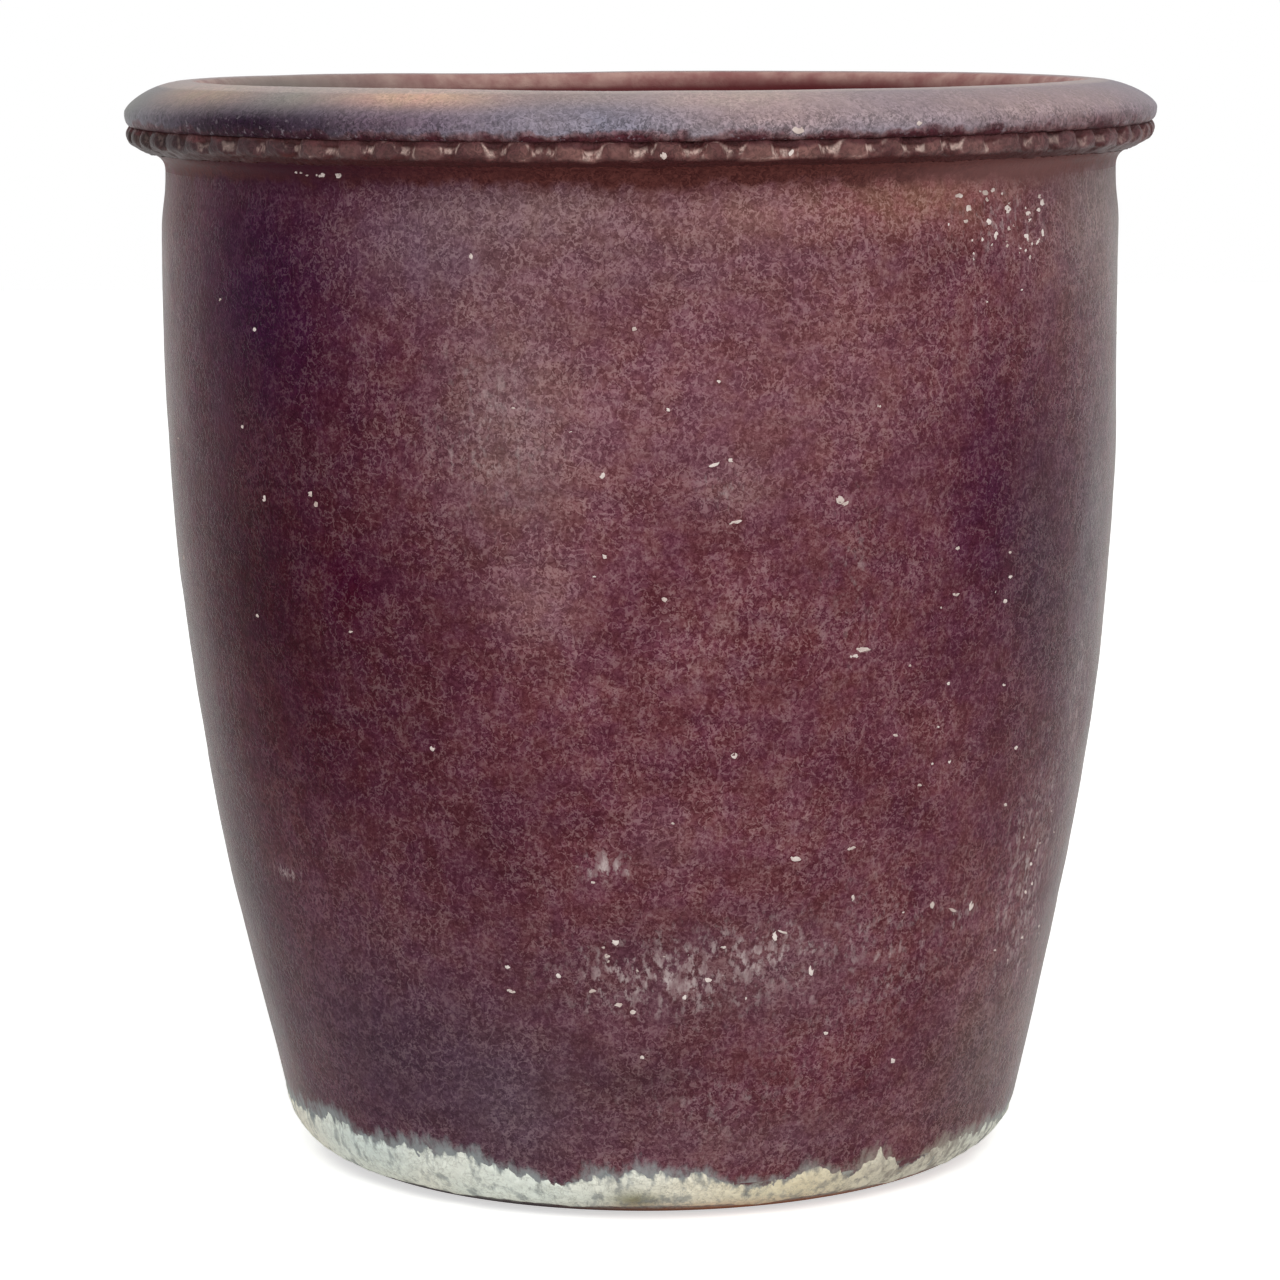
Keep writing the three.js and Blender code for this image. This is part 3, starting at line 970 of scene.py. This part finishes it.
def rim_glaze_material():
    material, tree, shader = new_material("worn_rim_glaze")
    position = put(tree, "Group", node_tree=pot_position).outputs
    mottle = put(tree, "Group", {"Fineness": GLAZE_FINENESS}, node_tree=glaze_mottle).outputs
    # Painted reflection: the grey-violet of the rim's top stands in for a pale sky reflected in its glaze
    colour = blend(tree, mottle["Clouds"], srgb(118, 116, 132), srgb(136, 128, 138))
    colour = painted(tree, position, colour, RIM_TINTS)
    # Painted highlight: a pale line along the top of the crest
    painted_crest_highlight = calc(tree, "MULTIPLY", ramp(tree, position["Height"], 0.5848, 0.5860), 0.6)
    colour = blend(tree, painted_crest_highlight, colour, srgb(188, 170, 164))
    # Underside of the nose: a ragged brownish band, partly brown clay like the strip and partly painted
    # shade where the roll curves under, then darker painted shade right above the groove
    ragged = calc(tree, "MULTIPLY", calc(tree, "SUBTRACT", mottle["Tint"], 0.5), 0.005)
    edge = calc(tree, "ADD", position["Height"], ragged)
    bare_and_shaded = blend(tree, mottle["Streaks"], srgb(72, 40, 44), srgb(122, 90, 92))
    colour = blend(tree, calc(tree, "MULTIPLY", ramp(tree, edge, 0.5685, 0.5655), 0.9), colour, bare_and_shaded)
    colour = blend(tree, ramp(tree, edge, 0.5655, 0.5635), colour, srgb(72, 36, 40))
    dark_left = (srgb(40, 18, 34), 0.90, -46, 0.5655, 17, 0.0060)
    colour = painted(tree, position, colour, (dark_left,))
    rough = ramp(tree, position["Height"], 0.5800, 0.5700, 0.45, 0.95)
    rough = calc(tree, "MULTIPLY", calc(tree, "SUBTRACT", mottle["Grain"], 0.5), rough)
    hue = ramp(tree, mottle["Tint"], 0.0, 1.0, 0.49, 0.51)
    colour = toned(tree, colour, calc(tree, "ADD", rough, 1.0), hue)
    point = put(tree, "TexCoord").outputs["Object"]
    specks = calc(tree, "MULTIPLY", ramp(tree, grain(tree, point, 300, 3, 0.7), 0.56, 0.72), 0.55)
    specks = calc(tree, "MULTIPLY", specks, ramp(tree, position["Height"], 0.5790, 0.5700))
    colour = blend(tree, specks, colour, srgb(146, 134, 142))
    cove = put(tree, "Group", node_tree=maroon_glaze).outputs["Color"]
    colour = blend(tree, ramp(tree, position["Height"], 0.5620, 0.5590), colour, cove)
    inner = blend(tree, mottle["Tint"], srgb(160, 110, 107), srgb(198, 160, 150))
    # Painted shade: the inner lip darkens below its edge, under the crest
    inner = blend(tree, ramp(tree, position["Height"], 0.5790, 0.5755), inner, srgb(112, 56, 59))
    inner = painted(tree, position, inner, INNER_TINTS)
    inner = blend(tree, ramp(tree, position["Height"], 0.5720, 0.5580), inner, srgb(102, 62, 53))
    tree.links.new(blend(tree, position["Inside"], colour, inner), shader["Base Color"])
    dusted(shader, 0.07)
    shader["Specular IOR Level"].default_value = GLAZE_SHINE
    tree.links.new(ramp(tree, mottle["Grain"], 0.0, 1.0, 0.34, 0.48), shader["Roughness"])
    bumped(tree, shader, mottle["Grain"], 0.35, 0.0004)
    return material


# Tints of the strip, in the same order
STRIP_TINTS = (
    (srgb(54, 34, 41), 0.94, -62, 0.56, 36, 0.03),
    (srgb(88, 60, 64), 0.80, 62, 0.56, 24, 0.03),
)
# Dark end of the strip on the left, in the same order
STRIP_SHADE = (srgb(58, 48, 45), 0.75, -78, 0.56, 20, 0.03)


def notched_strip_material():
    material, tree, shader = new_material("thumbed_strip_glaze")
    position = put(tree, "Group", node_tree=pot_position).outputs
    mottle = put(tree, "Group", {"Fineness": 1.2}, node_tree=glaze_mottle).outputs
    pressed = put(tree, "Attribute", attribute_name="pressed").outputs["Fac"]
    level = put(tree, "Attribute", attribute_name="level").outputs["Fac"]
    ragged = calc(tree, "MULTIPLY", calc(tree, "SUBTRACT", mottle["Tint"], 0.5), 0.24)
    ragged = calc(tree, "ADD", level, ragged)
    colour = blend(tree, mottle["Tint"], srgb(82, 47, 48), srgb(126, 88, 83))
    colour = painted(tree, position, colour, STRIP_TINTS)
    # Painted shade: the upper hollow of each dent under the rim's nose and the underside of the strip turn
    # dark
    curve = calc(tree, "ADD", ragged, calc(tree, "MULTIPLY", pressed, 0.3))
    hollow = calc(tree, "MULTIPLY", ramp(tree, curve, 1.02, 1.20), ramp(tree, pressed, 0.25, 0.80))
    shaded = calc(tree, "MAXIMUM", hollow, ramp(tree, ragged, 0.54, 0.36))
    colour = blend(tree, shaded, colour, NECK_DARK_AND_SHADE)
    # Pale crescents on the floors of the dents: partly worn glaze, partly a painted highlight where they
    # face up to the light; fainter round the sides
    worn = calc(tree, "MULTIPLY", ramp(tree, pressed, 0.10, 0.45), ramp(tree, ragged, 0.46, 0.60))
    worn = calc(tree, "MULTIPLY", worn, ramp(tree, curve, 1.16, 0.96))
    worn = calc(tree, "MULTIPLY", worn, ramp(tree, mottle["Streaks"], 0.15, 0.65))
    sideways = calc(tree, "ABSOLUTE", position["Angle"])
    worn = calc(tree, "MULTIPLY", worn, ramp(tree, sideways, 28, 58, 1.0, 0.4))
    crescent_wear_and_highlight = blend(tree, mottle["Streaks"], srgb(138, 102, 98), srgb(214, 188, 178))
    colour = blend(tree, calc(tree, "MULTIPLY", worn, 0.8), colour, crescent_wear_and_highlight)
    colour = painted(tree, position, colour, (STRIP_SHADE,))
    # Painted shade: the top of the strip darkens under the rim's nose
    colour = blend(tree, ramp(tree, ragged, 0.84, 0.98), colour, srgb(84, 48, 50))
    colour = toned(tree, colour, ramp(tree, mottle["Grain"], 0.0, 1.0, 0.72, 1.28))
    tree.links.new(colour, shader["Base Color"])
    shader["Specular IOR Level"].default_value = CLAY_SHINE
    tree.links.new(ramp(tree, worn, 0.0, 1.0, 0.45, 0.75), shader["Roughness"])
    bumped(tree, shader, mottle["Grain"], 0.5, 0.0006)
    return material


def foot_clay_material():
    material, tree, shader = new_material("stained_foot_clay")
    shader["Specular IOR Level"].default_value = CLAY_SHINE
    position = put(tree, "Group", node_tree=pot_position).outputs
    mottle = put(tree, "Group", {"Fineness": 0.9}, node_tree=glaze_mottle).outputs
    point = put(tree, "TexCoord").outputs["Object"]
    colour = blend(tree, mottle["Clouds"], srgb(92, 56, 62), srgb(106, 66, 72))
    side = ramp(tree, position["Angle"], -20, 12)
    lower = blend(tree, side, srgb(48, 28, 36), srgb(150, 88, 54))
    colour = blend(tree, ramp(tree, position["Height"], 0.009, 0.004), colour, lower)
    normal = put(tree, "NewGeometry").outputs["Normal"]
    up = put(tree, "SeparateXYZ", {0: normal}).outputs["Z"]
    raw = blend(tree, mottle["Grain"], srgb(122, 76, 58), srgb(152, 104, 82))
    level = calc(tree, "MAXIMUM", ramp(tree, up, 0.8, 0.95), ramp(tree, up, -0.96, -0.995))
    colour = blend(tree, level, colour, raw)
    film = put(tree, "Attribute", attribute_name="film").outputs["Fac"]
    wisps = grain(tree, point, 140, 4, 0.65)
    film = calc(tree, "ADD", film, calc(tree, "MULTIPLY", calc(tree, "SUBTRACT", wisps, 0.5), 1.6))
    above_ground = ramp(tree, position["Height"], 0.003, 0.009)
    film = calc(tree, "MULTIPLY", ramp(tree, film, 0.6, 1.1), above_ground)
    film = calc(tree, "MULTIPLY", film, calc(tree, "SUBTRACT", 1.0, level))
    colour = blend(tree, calc(tree, "MULTIPLY", film, 0.85), colour, srgb(176, 180, 172))
    colour = toned(tree, colour, ramp(tree, mottle["Grain"], 0.0, 1.0, 0.8, 1.2))
    tree.links.new(colour, shader["Base Color"])
    tree.links.new(ramp(tree, mottle["Grain"], 0.0, 1.0, 0.68, 0.85), shader["Roughness"])
    bumped(tree, shader, mottle["Grain"], 0.5, 0.0006)
    return material


# Tints of the lime: colour, strength, angle, height, half angle, half height
LIME_TINTS = (
    (srgb(240, 224, 184), 0.80, 24, 0.018, 18, 0.020),
    (srgb(208, 200, 184), 0.75, 44, 0.022, 16, 0.020),
    (srgb(206, 212, 202), 0.60, 60, 0.030, 10, 0.012),
    (srgb(222, 234, 229), 0.70, -48, 0.028, 14, 0.014),
    (srgb(122, 116, 72), 0.80, -2, 0.012, 4, 0.006),
    (srgb(196, 140, 92), 0.50, 10, 0.006, 20, 0.004),
)


def lime_material():
    material, tree, shader = new_material("lime_crust")
    shader["Specular IOR Level"].default_value = CLAY_SHINE
    position = put(tree, "Group", node_tree=pot_position).outputs
    mottle = put(tree, "Group", {"Fineness": 0.8}, node_tree=glaze_mottle).outputs
    point = put(tree, "TexCoord").outputs["Object"]
    colour = blend(tree, mottle["Clouds"], srgb(242, 248, 238), srgb(250, 246, 230))
    colour = painted(tree, position, colour, LIME_TINTS)
    stains = calc(tree, "MULTIPLY", ramp(tree, grain(tree, point, 75, 5, 0.68), 0.56, 0.70), 0.22)
    colour = blend(tree, stains, colour, srgb(150, 146, 122))
    thickness = put(tree, "Attribute", attribute_name="thickness").outputs["Fac"]
    streaks = calc(tree, "MULTIPLY", calc(tree, "SUBTRACT", mottle["Streaks"], 0.5), 0.9)
    thin = ramp(tree, calc(tree, "ADD", thickness, streaks), 0.95, 0.30)
    veiled = painted(tree, position, srgb(126, 132, 136), (WARM_FILM,))
    colour = blend(tree, calc(tree, "MULTIPLY", thin, 0.9), colour, veiled)
    cracks = calc(tree, "ABSOLUTE", calc(tree, "SUBTRACT", grain(tree, point, 120, 4, 0.65), 0.5))
    cracks = calc(tree, "MULTIPLY", ramp(tree, cracks, 0.035, 0.0), 0.25)
    colour = blend(tree, cracks, colour, srgb(122, 116, 104))
    colour = toned(tree, colour, ramp(tree, mottle["Grain"], 0.0, 1.0, 0.95, 1.10))
    tree.links.new(colour, shader["Base Color"])
    tree.links.new(ramp(tree, mottle["Grain"], 0.0, 1.0, 0.78, 0.92), shader["Roughness"])
    bumped(tree, shader, calc(tree, "SUBTRACT", mottle["Grain"], cracks), 0.6, 0.0008)
    return material


def fleck_material():
    material, tree, shader = new_material("lime_fleck")
    shader["Specular IOR Level"].default_value = CLAY_SHINE
    mottle = put(tree, "Group", {"Fineness": 1.6}, node_tree=glaze_mottle).outputs
    colour = blend(tree, mottle["Tint"], srgb(196, 176, 168), srgb(238, 226, 220))
    tree.links.new(colour, shader["Base Color"])
    tree.links.new(ramp(tree, mottle["Grain"], 0.0, 1.0, 0.70, 0.90), shader["Roughness"])
    bumped(tree, shader, mottle["Grain"], 0.4, 0.0004)
    return material


wear(wall_glaze_material(), lower_course, middle_course, upper_course)
wear(rim_glaze_material(), rim_roll)
wear(notched_strip_material(), notched_band)
wear(foot_clay_material(), floor_slab)
wear(lime_material(), crust)
wear(fleck_material(), flecks)


def seen_directly(tree):
    """1 for rays from the camera, off a shiny surface or through a clear one."""
    rays = put(tree, "LightPath").outputs
    shiny = calc(tree, "MAXIMUM", rays["Is Glossy Ray"], rays["Is Transmission Ray"])
    return calc(tree, "MAXIMUM", rays["Is Camera Ray"], shiny)


# Plain pale floor, white to the camera and keeping the pot's shadow
bpy.ops.object.select_all(action="DESELECT")
bpy.ops.mesh.primitive_plane_add(size=14)
ground = bpy.context.object
ground.name = "ground"
floor_material, floor_tree, floor_shader = new_material("pale_floor")
floor_shader["Base Color"].default_value = (0.90, 0.90, 0.89, 1)
floor_shader["Roughness"].default_value = 0.9
floor_shader["Emission Color"].default_value = (1, 1, 1, 1)
seen = seen_directly(floor_tree)
floor_tree.links.new(calc(floor_tree, "MULTIPLY", seen, FLOOR_GLOW), floor_shader["Emission Strength"])
wear(floor_material, ground)

# Studio: even soft light, and plain white wherever the background is seen
world = bpy.data.worlds.new("studio")
bpy.context.scene.world = world
world.use_nodes = True
sky = world.node_tree
level = put(sky, "Mix", {0: seen_directly(sky), 2: SKY_LIGHT, 3: 1.0}).outputs[0]
backdrop = sky.nodes["Background"].inputs
backdrop["Color"].default_value = (1, 1, 1, 1)
sky.links.new(level, backdrop["Strength"])

bpy.ops.object.select_all(action="DESELECT")
bpy.ops.object.light_add(type="AREA", location=KEY_PLACE, rotation=KEY_TURN)
key = bpy.context.object
key.name = "soft_key"
key.data.shape = "RECTANGLE"
key.data.size, key.data.size_y = KEY_SIZE
key.data.energy = KEY_POWER

bpy.ops.object.camera_add(location=CAMERA_PLACE, rotation=(math.pi / 2 - CAMERA_PITCH, CAMERA_ROLL, 0))
camera = bpy.context.object
camera.data.lens = CAMERA_LENS
camera.data.sensor_width = 36
camera.data.clip_end = 50
bpy.context.scene.camera = camera
bpy.context.scene.view_settings.view_transform = "Standard"
